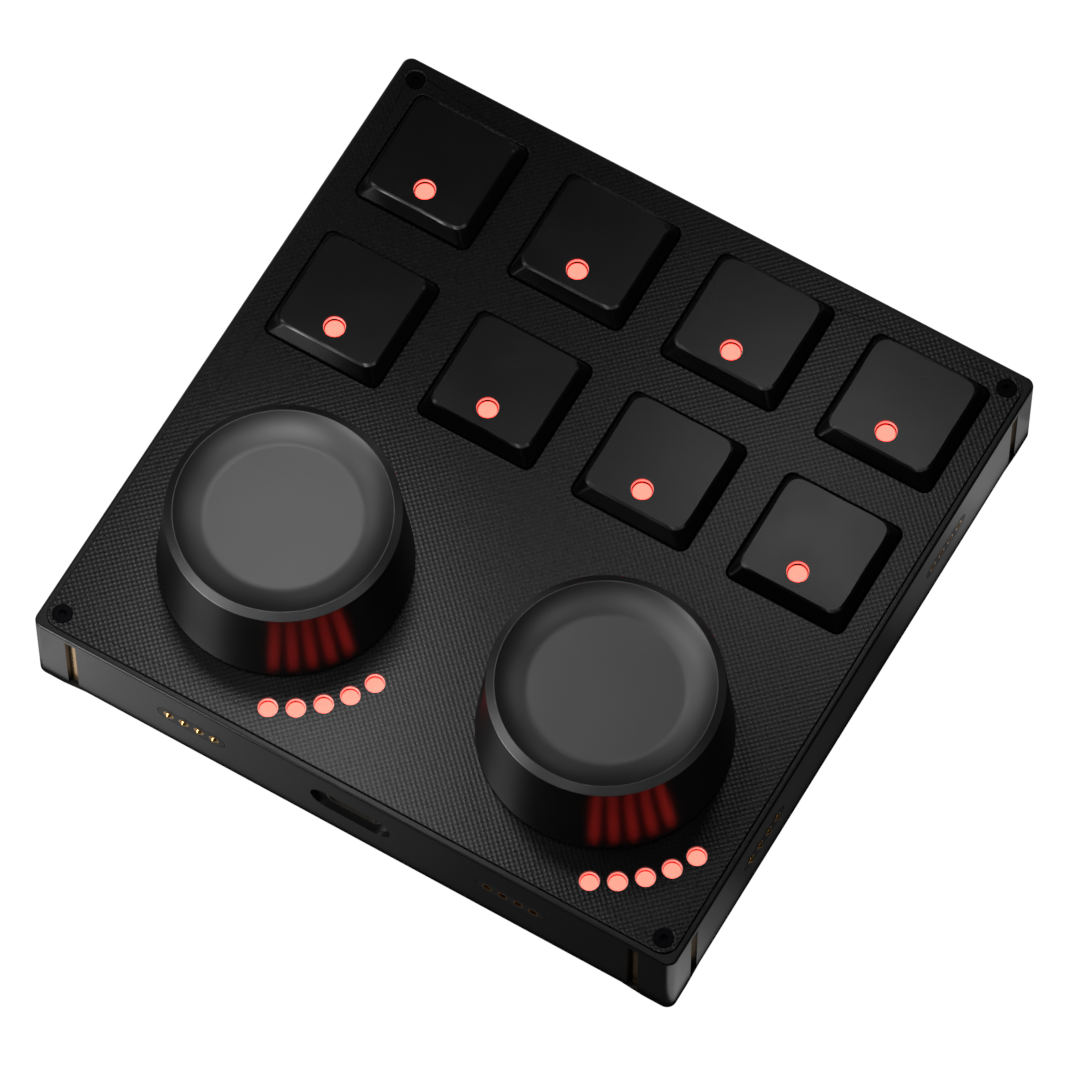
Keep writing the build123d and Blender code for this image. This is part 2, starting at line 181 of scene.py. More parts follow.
@dataclass(frozen=True)
class Finish:
    """A real material and how its surface was made, as one Principled material.

    Attributes:
        colour: Its colour, or the middle of its tones.
        tones: The colours at the foot and the top of its slowest grain.
        roughness: Its roughness where no grain varies it.
        gloss: Its roughness at the foot and the top of its finest grain.
        wear: Its roughness at the foot and the top of its slowest grain.
        relief_mm: How high its finest grain stands.
        ior: Its index of refraction, which a metal leaves alone.
        metallic: 1 for a metal.
        grains: Its grains, the finest first.
    """

    colour: str = "808080"
    tones: Tones | None = None
    roughness: float = 0.5
    gloss: Pair | None = None
    wear: Pair | None = None
    relief_mm: float = 0.0
    ior: float = 1.5
    metallic: float = 0.0
    grains: Grains = ()

    @property
    def name(self) -> str:
        """The material's name, which is the class's own with underscores."""
        return re.sub("(?<=[a-z])(?=[A-Z])", "_", type(self).__name__).lower()

    def heights(self, tree: Tree, spot: Socket) -> list[Socket]:
        """Makes the heights that the surface varies by.

        Args:
            tree: The material's node tree.
            spot: The place on the object in millimetres.

        Returns:
            Sockets that run from 0 to 1, the finest first.
        """
        made = []
        for grain in self.grains:
            inputs = {"Vector": spot, "Scale": 1 / grain.size_mm, "Detail": grain.layers}
            made.append(add_node(tree, "ShaderNodeTexNoise", inputs).outputs["Fac"])
        return made

    def pattern(self, tree: Tree, heights: Sequence[Socket]) -> dict[str, object]:
        """Gives the Principled inputs that vary over the surface.

        Args:
            tree: The material's node tree.
            heights: The sockets that heights() made.

        Returns:
            Values or sockets by the name of the Principled input.
        """
        varied: dict[str, object] = {}
        if self.tones:
            first, second = (linear(tone) for tone in self.tones)
            ends = {"Factor": heights[-1], MIX_FIRST: first, MIX_SECOND: second}
            mix = add_node(tree, "ShaderNodeMix", ends, data_type="RGBA")
            varied["Base Color"] = mix.outputs[MIX_RESULT]
        for ends, height in ((self.gloss, 0), (self.wear, -1)):
            if ends:
                inputs = {"Value": heights[height], "To Min": ends[0], "To Max": ends[1]}
                run = add_node(tree, "ShaderNodeMapRange", inputs)
                varied["Roughness"] = run.outputs["Result"]
        if self.relief_mm:
            inputs = {"Height": heights[0], "Distance": self.relief_mm * MM}
            varied["Normal"] = add_node(tree, "ShaderNodeBump", inputs).outputs["Normal"]
        return varied

    def material(self) -> bpy.types.Material:
        """Builds the material at the first call.

        Returns:
            The material, which is the same one at every later call.
        """
        made = bpy.data.materials.get(self.name)
        if made is not None:
            return made
        made = bpy.data.materials.new(self.name)
        made.diffuse_color = linear(self.colour)
        tree = empty_tree(made)
        place = add_node(tree, "ShaderNodeTexCoord").outputs["Object"]
        scale = {0: place, "Scale": 1 / MM}
        spot = add_node(tree, "ShaderNodeVectorMath", scale, operation="SCALE").outputs["Vector"]
        surface = {"Base Color": linear(self.colour), "Roughness": self.roughness}
        surface["Metallic"] = self.metallic
        if not self.metallic:
            surface["IOR"] = self.ior
        surface.update(self.pattern(tree, self.heights(tree, spot)))
        shader = add_node(tree, "ShaderNodeBsdfPrincipled", surface)
        add_node(tree, "ShaderNodeOutputMaterial", {"Surface": shader.outputs["BSDF"]})
        return made


@dataclass(frozen=True)
class SparkErodedAbs(Finish):
    """Black ABS moulded in a spark-eroded tool.

    The eye sees a soft grey sheen at a low angle that breaks up into fine pits, and near black
    elsewhere.
    """

    colour: str = "0f0f10"
    tones: Tones = ("0b0b0c", "131314")
    gloss: Pair = (0.26, 0.36)
    relief_mm: float = 0.012
    # The pits are drawn about twice as coarse as real so that they show.
    grains: Grains = (Grain(0.22, 3), Grain(14.0))


@dataclass(frozen=True)
class WovenGlassLaminate(Finish):
    """Glass cloth in epoxy under a thin black mask: a bare laminate plate, routed to shape.

    The eye sees the plain weave as a fine lattice of light and dark squares set cornerwise, where
    warp and weft come to the top by turns, under a satin sheen.

    Attributes:
        thread_mm: The spacing of the threads.
        slub: How high a thread stands where it is thin and where it is thick.
    """

    colour: str = "0e0e0f"
    tones: Tones = ("060607", "161617")
    gloss: Pair = (0.32, 0.22)
    relief_mm: float = 0.018
    ior: float = 1.53
    # The length over which a thread's thickness changes.
    grains: Grains = (Grain(0.9),)
    thread_mm: float = 0.494
    slub: Pair = (0.7, 1.3)

    def heights(self, tree: Tree, spot: Socket) -> list[Socket]:
        """Makes the crossings of a plain weave, warp over weft and weft over warp by turns.

        Args:
            tree: The material's node tree.
            spot: The place on the object in millimetres.

        Returns:
            The height of the threads.
        """
        split = add_node(tree, "ShaderNodeSeparateXYZ", {0: spot})
        waves = []
        for axis in ("X", "Y"):
            turn = {0: split.outputs[axis], 1: math.pi / self.thread_mm}
            angle = add_node(tree, "ShaderNodeMath", turn, operation="MULTIPLY").outputs[0]
            waves.append(add_node(tree, "ShaderNodeMath", {0: angle}, operation="SINE").outputs[0])
        over = add_node(tree, "ShaderNodeMath", dict(enumerate(waves)), operation="MULTIPLY")
        swing = {"Value": over.outputs[0], "From Min": -1.0}
        crown = add_node(tree, "ShaderNodeMapRange", swing).outputs["Result"]
        swell = {"Value": super().heights(tree, spot)[0]}
        swell["To Min"], swell["To Max"] = self.slub
        slub = add_node(tree, "ShaderNodeMapRange", swell).outputs["Result"]
        height = add_node(tree, "ShaderNodeMath", {0: crown, 1: slub}, operation="MULTIPLY")
        return [height.outputs[0]]


@dataclass(frozen=True)
class SatinKeycapAbs(Finish):
    """Black keycap ABS from a finely blasted mould.

    The eye sees an even, flat satin top, a shade smoother than the case.
    """

    colour: str = "0a0a0a"
    wear: Pair = (0.22, 0.3)
    relief_mm: float = 0.004
    ior: float = 1.62
    # The mould's grain is drawn at about one pixel, and fingers polish it in slow patches.
    grains: Grains = (Grain(0.16), Grain(9.0))


@dataclass(frozen=True)
class PolishedBlackAnodising(Finish):
    """Turned aluminium, polished and anodised black: the knob's side.

    The fine turning lines run round the knob, so lights smear into upright bands with sharp sides.

    Attributes:
        anisotropy: How far the lights smear.
        smear_turn: The smear's direction against the turning lines, in full turns.
    """

    colour: str = "3a3a3b"
    tones: Tones = ("363637", "3e3e3f")
    roughness: float = 0.41
    metallic: float = 1.0
    grains: Grains = (Grain(6.0),)
    anisotropy: float = 0.85
    smear_turn: float = 0.25

    def pattern(self, tree: Tree, heights: Sequence[Socket]) -> dict[str, object]:
        """Adds turning lines finer than a pixel, of which only the smear is drawn.

        Args:
            tree: The material's node tree.
            heights: The sockets that heights() made.

        Returns:
            Values or sockets by the name of the Principled input.
        """
        around = add_node(tree, "ShaderNodeTangent", direction_type="RADIAL", axis="Z")
        return super().pattern(tree, heights) | {
            "Anisotropic": self.anisotropy,
            "Anisotropic Rotation": self.smear_turn,
            "Tangent": around.outputs[0],
        }


@dataclass(frozen=True)
class CutChamferAnodising(Finish):
    """The bevel cut after turning and anodised with the rest.

    The eye sees a narrow ring that is bright where it faces a light and black where it doesn't.
    """

    colour: str = "747475"
    gloss: Pair = (0.28, 0.38)
    relief_mm: float = 0.003
    metallic: float = 1.0
    # The cutter's faint feed marks, drawn coarse enough to glint.
    grains: Grains = (Grain(0.25),)


@dataclass(frozen=True)
class BlastedBlackAnodising(Finish):
    """Bead-blasted aluminium under black anodising: the knob's dish.

    The eye sees a soft, even grey that rolls off into the dished edge without any streak.
    """

    colour: str = "696969"
    tones: Tones = ("676767", "6b6b6b")
    gloss: Pair = (0.39, 0.45)
    relief_mm: float = 0.003
    metallic: float = 1.0
    # The beads' dimples are drawn at about one pixel so that the sheen has a fine tooth.
    grains: Grains = (Grain(0.18), Grain(8.0))


@dataclass(frozen=True)
class LitMilkyPolycarbonate(Finish):
    """Milky polycarbonate with a red light behind it.

    The eye sees an even salmon disc, brightest in the middle, because the red is too bright for the
    picture and only its green and blue still show.

    Attributes:
        glow: The light's linear red, green and blue.
        strength: How strong the light is.
        unevenness: By what share the filler weakens and strengthens the light.
        lit_from: The share of the piece's height above which it is lit.
    """

    colour: str = "5a2a22"
    gloss: Pair = (0.25, 0.4)
    ior: float = 1.58
    # The filler's faint cloudiness.
    grains: Grains = (Grain(0.6),)
    glow: Point = (1.0, 0.0284, 0.0211)
    strength: float = 14.0
    unevenness: float = 0.08
    lit_from: float = 0.995

    def pattern(self, tree: Tree, heights: Sequence[Socket]) -> dict[str, object]:
        """Adds the light, which shows only on the upper ends.

        Args:
            tree: The material's node tree.
            heights: The sockets that heights() made.

        Returns:
            Values or sockets by the name of the Principled input.
        """
        share = add_node(tree, "ShaderNodeTexCoord").outputs["Generated"]
        rise = add_node(tree, "ShaderNodeSeparateXYZ", {0: share}).outputs["Z"]
        limit = {0: rise, 1: self.lit_from}
        end = add_node(tree, "ShaderNodeMath", limit, operation="GREATER_THAN").outputs[0]
        swing = self.unevenness * self.strength
        ends = {"To Min": self.strength - swing, "To Max": self.strength + swing}
        level = add_node(tree, "ShaderNodeMapRange", {"Value": heights[0]} | ends).outputs["Result"]
        light = add_node(tree, "ShaderNodeMath", {0: level, 1: end}, operation="MULTIPLY")
        return super().pattern(tree, heights) | {
            "Emission Color": (*self.glow, 1.0),
            "Emission Strength": light.outputs[0],
        }


@dataclass(frozen=True)
class MilkyRing(Finish):
    """The thin milky lip of a light window, with painted glow standing in for the light of the disc
    below it.

    Its emission is painted light: the eye sees a pink crescent above the disc and a thin red line
    round it.

    Attributes:
        glow: The painted glow's linear red, green and blue.
        strength: How strong the painted glow is.
    """

    colour: str = "e8cfc8"
    tones: Tones = ("e4c8c0", "eed8d2")
    roughness: float = 0.45
    ior: float = 1.58
    # The same cloudiness as the disc.
    grains: Grains = (Grain(0.6),)
    glow: Point = (1.0, 0.34, 0.27)
    strength: float = 0.4

    def pattern(self, tree: Tree, heights: Sequence[Socket]) -> dict[str, object]:
        """Adds the painted glow that stands in for the light the lip catches from the disc."""
        # Painted glow: an emission on the lip in place of the disc's light falling on it.
        painted_glow = {"Emission Color": (*self.glow, 1.0), "Emission Strength": self.strength}
        return super().pattern(tree, heights) | painted_glow


@dataclass(frozen=True)
class BlackOxideSteel(Finish):
    """Steel screws blackened in an oxide bath.

    The eye sees a dark, slightly oily head with dull pits.
    """

    colour: str = "141416"
    tones: Tones = ("0f0f11", "1c1c1f")
    gloss: Pair = (0.3, 0.5)
    metallic: float = 1.0
    # Uneven oxide, in patches of a few tenths of a millimetre.
    grains: Grains = (Grain(0.3, 4),)


@dataclass(frozen=True)
class BrightGoldPlate(Finish):
    """Gold plate over nickel on turned contact pins and sleeves.

    The eye sees small, warm, sharp glints with brown shade between them.
    """

    colour: str = "d9a866"
    tones: Tones = ("d2a05c", "e2b778")
    gloss: Pair = (0.14, 0.26)
    metallic: float = 1.0
    # Faint turning marks, which keep the glints from being mirror sharp.
    grains: Grains = (Grain(0.12),)


@dataclass(frozen=True)
class PlatedMagnet(Finish):
    """Rod magnets with a gold-coloured plate.

    The eye sees an upright gold strip in its slot, with one bright line and a brown edge.
    """

    colour: str = "d8b07a"
    tones: Tones = ("b98d55", "e3c192")
    gloss: Pair = (0.18, 0.34)
    metallic: float = 1.0
    # Handling marks and slight tarnish along the rod.
    grains: Grains = (Grain(1.2, 3),)


@dataclass(frozen=True)
class TumbledNickelPlate(Finish):
    """Nickel-plated steel and brass of the socket shell, nuts and shafts.

    The eye sees a warm grey metal with soft reflections.
    """

    colour: str = "c4beb4"
    gloss: Pair = (0.22, 0.38)
    relief_mm: float = 0.004
    metallic: float = 1.0
    # Small dents from the plating barrel.
    grains: Grains = (Grain(0.4, 3),)


@dataclass(frozen=True)
class DrawnSpringWire(Finish):
    """Stainless spring wire, drawn and wound.

    The eye sees bright turns with fine lines along the wire.
    """

    colour: str = "c9c7c3"
    gloss: Pair = (0.18, 0.35)
    metallic: float = 1.0
    # Die lines, as a fine change of gloss.
    grains: Grains = (Grain(0.1),)


@dataclass(frozen=True)
class GlassFilledNylon(Finish):
    """Black glass-filled nylon of the housings, contact blocks and inserts.

    The eye sees a dull black with short glass fibres just under the skin.

    Attributes:
        squeeze: The share that the grain is squeezed to along each axis. A quarter draws it out to
            four times its length.
    """

    colour: str = "19191b"
    tones: Tones = ("111112", "252528")
    gloss: Pair = (0.42, 0.58)
    relief_mm: float = 0.006
    ior: float = 1.53
    # Fibres half a millimetre long, drawn coarser than real so that they show.
    grains: Grains = (Grain(0.12, 3),)
    squeeze: Point = (1.0, 0.25, 1.0)

    def heights(self, tree: Tree, spot: Socket) -> list[Socket]:
        """Draws the grain out into fibres.

        Args:
            tree: The material's node tree.
            spot: The place on the object in millimetres.

        Returns:
            The height of the fibres.
        """
        inputs = {0: spot, 1: self.squeeze}
        drawn = add_node(tree, "ShaderNodeVectorMath", inputs, operation="MULTIPLY")
        return super().heights(tree, drawn.outputs["Vector"])


@dataclass(frozen=True)
class RedAcetal(Finish):
    """Red acetal sliders, moulded and self-lubricating.

    The eye sees a waxy, slightly translucent red.
    """

    colour: str = "a82a26"
    tones: Tones = ("9f2521", "b3312b")
    gloss: Pair = (0.28, 0.4)
    ior: float = 1.48
    # Flow marks from the gate, a few millimetres long.
    grains: Grains = (Grain(2.5),)


@dataclass(frozen=True)
class GreenSolderMask(Finish):
    """A laminate board under green solder mask, with copper runs beneath it.

    The eye sees a semi-gloss green with paler, slightly raised runs.

    Attributes:
        run_pitch_mm: The spacing of the runs.
        wave_pitch: The spacing of the wave pattern's bands at a scale of 1.
        drift_mm: The length over which a run bends.
        bend_mm: How far it bends.
    """

    colour: str = "1f4a33"
    tones: Tones = ("1a4230", "2d6a49")
    roughness: float = 0.3
    relief_mm: float = 0.03
    ior: float = 1.55
    run_pitch_mm: float = 1.27
    wave_pitch: float = 0.314
    drift_mm: float = 12.5
    bend_mm: float = 9.0

    def heights(self, tree: Tree, spot: Socket) -> list[Socket]:
        """Makes copper runs, bent by a slow noise and a little proud of the board.

        Args:
            tree: The material's node tree.
            spot: The place on the object in millimetres.

        Returns:
            The height of the runs.
        """
        slow = {"Vector": spot, "Scale": 1 / self.drift_mm, "Detail": 0.0}
        drift = add_node(tree, "ShaderNodeTexNoise", slow).outputs["Color"]
        move = {0: drift, 1: (self.bend_mm, self.bend_mm, 0.0), 2: spot}
        bent = add_node(tree, "ShaderNodeVectorMath", move, operation="MULTIPLY_ADD")
        bands = {"Vector": bent.outputs["Vector"], "Scale": self.wave_pitch / self.run_pitch_mm}
        return [add_node(tree, "ShaderNodeTexWave", bands).outputs["Fac"]]


@dataclass(frozen=True)
class ClearCastEpoxy(Finish):
    """Light chips cast in clear epoxy over a white cup.

    The eye sees a small, glossy, cream block.
    """

    colour: str = "eae6da"
    tones: Tones = ("efeadb", "d9cf9a")
    roughness: float = 0.15
    # The yellow phosphor drop in the middle of the cup.
    grains: Grains = (Grain(1.1),)


@dataclass(frozen=True)
class MouldedRubber(Finish):
    """Black moulded rubber of the corner feet.

    The eye sees the wall's own sheen carried on down to the desk, a touch duller.
    """

    colour: str = "141415"
    tones: Tones = ("101011", "1a1a1b")
    roughness: float = 0.42
    relief_mm: float = 0.008
    # Pores with a little dust in them.
    grains: Grains = (Grain(0.2, 3),)


@dataclass(frozen=True)
class BrokenEdge:
    """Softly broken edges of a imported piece, made by modifiers so that its own mesh stays as it is.

    Attributes:
        radius: The rounding of the edges.
        weld: How near two points have to be to be taken as one.
        sharp_deg: The angle above which an edge is broken.
        steps: Steps in the rounding.
    """

    radius: float
    weld: float = 0.001
    sharp_deg: float = 28.0
    steps: int = 2

    def put_on(self, piece: bpy.types.Object) -> None:
        """Breaks a piece's edges.

        Args:
            piece: The object that gets the modifiers.
        """
        weld = piece.modifiers.new("weld", "WELD")
        weld.merge_threshold = self.weld * MM
        round_over = piece.modifiers.new("broken_edges", "BEVEL")
        round_over.width = self.radius * MM
        round_over.segments = self.steps
        round_over.limit_method = "ANGLE"
        round_over.angle_limit = math.radians(self.sharp_deg)
        round_over.harden_normals = False
        even = piece.modifiers.new("even_normals", "WEIGHTED_NORMAL")
        even.keep_sharp = True


def add_piece(
    name: str,
    points: Sequence[Point],
    faces: Sequence[Face],
    materials: Sequence[bpy.types.Material],
    unit: float = MM,
) -> bpy.types.Object:
    """Adds a piece to the scene from its points and faces.

    Args:
        name: Its name.
        points: Its points.
        faces: The numbers of each face's points.
        materials: What it is made of.
        unit: The unit of its points, in metres.

    Returns:
        The new object.
    """
    mesh = bpy.data.meshes.new(name)
    mesh.from_pydata([tuple(part * unit for part in point) for point in points], [], faces)
    for material in materials:
        mesh.materials.append(material)
    piece = bpy.data.objects.new(name, mesh)
    bpy.context.scene.collection.objects.link(piece)
    return piece


@dataclass(frozen=True)
class Corner:
    """One corner of a turned section.

    Attributes:
        radius: Its distance from the axis.
        height: Its height.
        round_over: The radius of its fillet.
        band: The number of the finish on the band that starts here, which is 0 for the only one.
    """

    radius: float
    height: float
    round_over: float = 0.0
    band: int = Band.SIDE


@dataclass(frozen=True)
class Lathe:
    """Turns a section about an upright axis, with true normals on its fillets.

    Attributes:
        segments: Steps round the axis.
        arc_steps: Steps in each fillet.
    """

    segments: int = 192
    arc_steps: int = 5

    def outline(self, corners: Sequence[Corner]) -> list[tuple[Vector, Vector, int]]:
        """Rounds the section's corners.

        Args:
            corners: The section, from its inner end to its outer end.

        Returns:
            Each point of the rounded section with its outward normal and its band.
        """
        points: list[tuple[Vector, Vector, int]] = []
        spots = [Vector((c.radius, c.height)) for c in corners]
        for i, corner in enumerate(corners):
            before = (spots[i] - spots[i - 1]).normalized() if i else None
            after = (spots[i + 1] - spots[i]).normalized() if i + 1 < len(spots) else None
            if before is None or after is None or not corner.round_over:
                middle = ((before or after) + (after or before)).normalized()
                points.append((spots[i], Vector((middle.y, -middle.x)), corner.band))
                continue
            turn = math.acos(max(-1.0, min(1.0, before.dot(after))))
            reach = corner.round_over * math.tan(turn / 2)
            left = Vector((-before.y, before.x))
            side = 1.0 if left.dot(after) > 0 else -1.0
            centre = spots[i] - before * reach + left * corner.round_over * side
            for step in range(self.arc_steps + 1):
                way = before.lerp(after, step / self.arc_steps).normalized()
                out = Vector((way.y, -way.x))
                points.append((centre + out * corner.round_over * side, out, corner.band))
        return points

    def turn(
        self, name: str, corners: Sequence[Corner], axis: Pair, finishes: Sequence[Finish]
    ) -> bpy.types.Object:
        """Builds the turned piece.

        Args:
            name: Its name.
            corners: Its section, with heights in the shared frame.
            axis: Where its axis stands.
            finishes: The finish of each band.

        Returns:
            The new object.
        """
        outline = self.outline(corners)
        points, normals = [], []
        for point, out, _ in outline:
            for step in range(self.segments):
                angle = 2 * math.pi * step / self.segments
                cos, sin = math.cos(angle), math.sin(angle)
                points.append((axis[0] + point.x * cos, axis[1] + point.x * sin, point.y))
                normals.append(Vector((out.x * cos, out.x * sin, out.y)).to_tuple())
        faces, bands = [], []
        for ring in range(len(outline) - 1):
            low, high = ring * self.segments, (ring + 1) * self.segments
            for step in range(self.segments):
                after = (step + 1) % self.segments
                faces.append((low + step, low + after, high + after, high + step))
                bands.append(outline[ring][2])
        piece = add_piece(name, points, faces, [finish.material() for finish in finishes])
        piece.data.polygons.foreach_set("material_index", bands)
        piece.data.shade_smooth()
        piece.data.normals_split_custom_set_from_vertices(normals)
        return piece


@dataclass(frozen=True)
class Coil:
    """A wound compression spring with closed ends.

    Attributes:
        outer: Its outside diameter.
        wire: The wire's diameter.
        turns: All turns, the closed ends among them.
        closed: Turns that lie flat at each end.
        steps: Steps in one turn.
        sides: Steps round the wire.
    """

    outer: float = 4.4
    wire: float = 0.4
    turns: float = 6.5
    closed: float = 0.9
    steps: int = 28
    sides: int = 8

    def height_at(self, turn: float, low: float, high: float) -> float:
        """Finds how high the wire's middle lies at a turn.

        Args:
            turn: The turn, counted from the foot.
            low: Its height at the foot.
            high: Its height at the top.

        Returns:
            The height.
        """
        flat = self.wire * 0.5 * self.closed
        rise = (high - low - 2 * flat) / (self.turns - 2 * self.closed)
        if turn < self.closed:
            return low + flat * turn / self.closed
        if turn > self.turns - self.closed:
            return high - flat * (self.turns - turn) / self.closed
        return low + flat + rise * (turn - self.closed)

    def wind(self, name: str, axis: Pair, low: float, high: float) -> bpy.types.Object:
        """Winds the spring.

        Args:
            name: Its name.
            axis: Where its axis stands.
            low: The height of its foot.
            high: The height of its top.

        Returns:
            The new object.
        """
        count = int(self.turns * self.steps)
        radius = self.wire / 2
        middle = self.outer / 2 - radius
        points, faces = [], []
        for i in range(count + 1):
            turn = self.turns * i / count
            angle = 2 * math.pi * turn
            height = self.height_at(turn, low + radius, high - radius)
            for side in range(self.sides):
                tilt = 2 * math.pi * side / self.sides
                reach = middle + radius * math.cos(tilt)
                x, y = axis[0] + reach * math.cos(angle), axis[1] + reach * math.sin(angle)
                points.append((x, y, height + radius * math.sin(tilt)))
        for i in range(count):
            here, ahead = i * self.sides, (i + 1) * self.sides
            for side in range(self.sides):
                after = (side + 1) % self.sides
                faces.append((here + side, ahead + side, ahead + after, here + after))
        faces.append(tuple(range(self.sides)))
        faces.append(tuple(reversed(range(count * self.sides, (count + 1) * self.sides))))
        spring = add_piece(name, points, faces, [DrawnSpringWire().material()])
        spring.data.shade_smooth()
        return spring


@dataclass(frozen=True)
class MilkyLip:
    """The thin milky lip that lines a light window.

    Attributes:
        bore: The window's diameter.
        wall: The lip's wall.
        play: The gap between the lip and the window.
        bevel: The bevel inside its upper end.
        round_over: The rounding of its upper edges, which is doubled where the bevel starts.
        lathe: How finely it is turned.
    """

    bore: float
    wall: float
    play: float = 0.01
    bevel: float = 0.03
    round_over: float = 0.01
    lathe: Lathe = Lathe(segments=48, arc_steps=2)

    def line(self, name: str, axis: Pair, top: float, bottom: float) -> bpy.types.Object:
        """Lines one window.

        Args:
            name: The lip's name.
            axis: The window's middle.
            top: The lip's upper end, below the broken edge of the window.
            bottom: How far down it reaches.

        Returns:
            The new object.
        """
        outer = self.bore / 2 - self.play
        inner = outer - self.wall
        corners = [
            Corner(inner, bottom),
            Corner(inner, top - self.bevel, 2 * self.round_over),
            Corner(inner + self.bevel, top, self.round_over),
            Corner(outer, top, self.round_over),
            Corner(outer, bottom),
            Corner(inner, bottom),
        ]
        lip = self.lathe.turn(name, corners, axis, [MilkyRing()])
        LOG.info("lined %s", name)
        return lip


def box_mm(node: str) -> tuple[Vector, Vector]:
    """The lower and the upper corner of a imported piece's box, in millimetres."""
    low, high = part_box(node)
    return low / MM, high / MM


def middle_of(node: str) -> Pair:
    """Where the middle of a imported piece's box stands, in millimetres."""
    low, high = box_mm(node)
    return ((low.x + high.x) / 2, (low.y + high.y) / 2)


@dataclass
class SubAssembly:
    """Pieces that belong together.

    Attributes:
        nodes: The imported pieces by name.
    """

    nodes: dict[str, bpy.types.Object]

    def build(self) -> None:
        """Builds what the solids only stand in for, where there is any."""

    def dress(self) -> None:
        """Dresses the pieces."""

    def give(self, node: str, finish: Finish, edge: BrokenEdge | None = None) -> None:
        """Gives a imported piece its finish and, where asked, softly broken edges.

        Args:
            node: The piece's name.
            finish: What it is made of.
            edge: How its edges are broken.
        """
        piece = self.nodes[node]
        piece.data.materials.clear()
        piece.data.materials.append(finish.material())
        if edge:
            edge.put_on(piece)
        LOG.info("dressed %s in %s", node, finish.name)


@dataclass
class Case(SubAssembly):
    """The walls, cover, feet, screws and faceplate.

    Attributes:
        edge: The broken edges of the moulded walls.
        plate_edge: The edge left by the plate's router.
    """

    edge: BrokenEdge = BrokenEdge(radius=0.12)
    plate_edge: BrokenEdge = BrokenEdge(radius=0.12)

    def dress(self) -> None:
        """Dresses the pieces of the case."""
        self.give("side_frame", SparkErodedAbs(), self.edge)
        self.give("bottom_cover", SparkErodedAbs(), self.edge)
        self.give("faceplate", WovenGlassLaminate(), self.plate_edge)
        self.give("case_screws", BlackOxideSteel())
        self.give("rubber_feet", MouldedRubber(), self.edge)


@dataclass
class Keypad(SubAssembly):
    """Eight sprung keys with their caps, light windows, sliders, springs and switch housings.

    Attributes:
        count: How many keys there are.
        travel: How far a key goes down. It is not used.
        lip: The milky lip in a cap's window.
        lip_drop: How far the lip ends below the cap's top.
        lip_rise: How far the lip starts above the lens.
        cap_edge: The broken edge of a cap, on both sides of its bevel.
        coil: The spring under a key.
    """

    count: int = 8
    travel: float = 2.5
    lip: MilkyLip = MilkyLip(bore=3.35, wall=0.08)
    lip_drop: float = 0.22
    lip_rise: float = 0.3
    cap_edge: BrokenEdge = BrokenEdge(radius=0.18)
    coil: Coil = Coil()

    def build(self) -> None:
        """Winds the springs and lines the windows."""
        for number in range(1, self.count + 1):
            self.wind_spring(number)
            self.line_window(number)

    def wind_spring(self, number: int) -> None:
        """Winds one key's spring.

        Args:
            number: The key's number.
        """
        node = f"key_spring_{number}"
        x, y = middle_of(node)
        foot, top = (corner.z for corner in box_mm(node))
        spring = self.coil.wind(f"wound_spring_{number}", (x, y), foot, top)
        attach(spring, "case")
        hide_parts(node)
        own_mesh(spring)
        LOG.info("wound %s", spring.name)

    def line_window(self, number: int) -> None:
        """Puts the milky lip into one cap's window.

        Args:
            number: The key's number.
        """
        lens = f"key_lens_{number}"
        top = box_mm(f"keycap_{number}")[1].z - self.lip_drop
        bottom = box_mm(lens)[1].z + self.lip_rise
        lip = self.lip.line(f"window_lip_{number}", middle_of(lens), top, bottom)
        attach(lip, f"key_{number}")

    def dress(self) -> None:
        """Dresses the pieces of the keys."""
        for number in range(1, self.count + 1):
            self.give(f"keycap_{number}", SatinKeycapAbs(), self.cap_edge)
            self.give(f"key_lens_{number}", LitMilkyPolycarbonate())
            self.give(f"key_stem_{number}", RedAcetal())
        self.give("switch_bases", GlassFilledNylon())
        self.give("switch_tops", GlassFilledNylon())


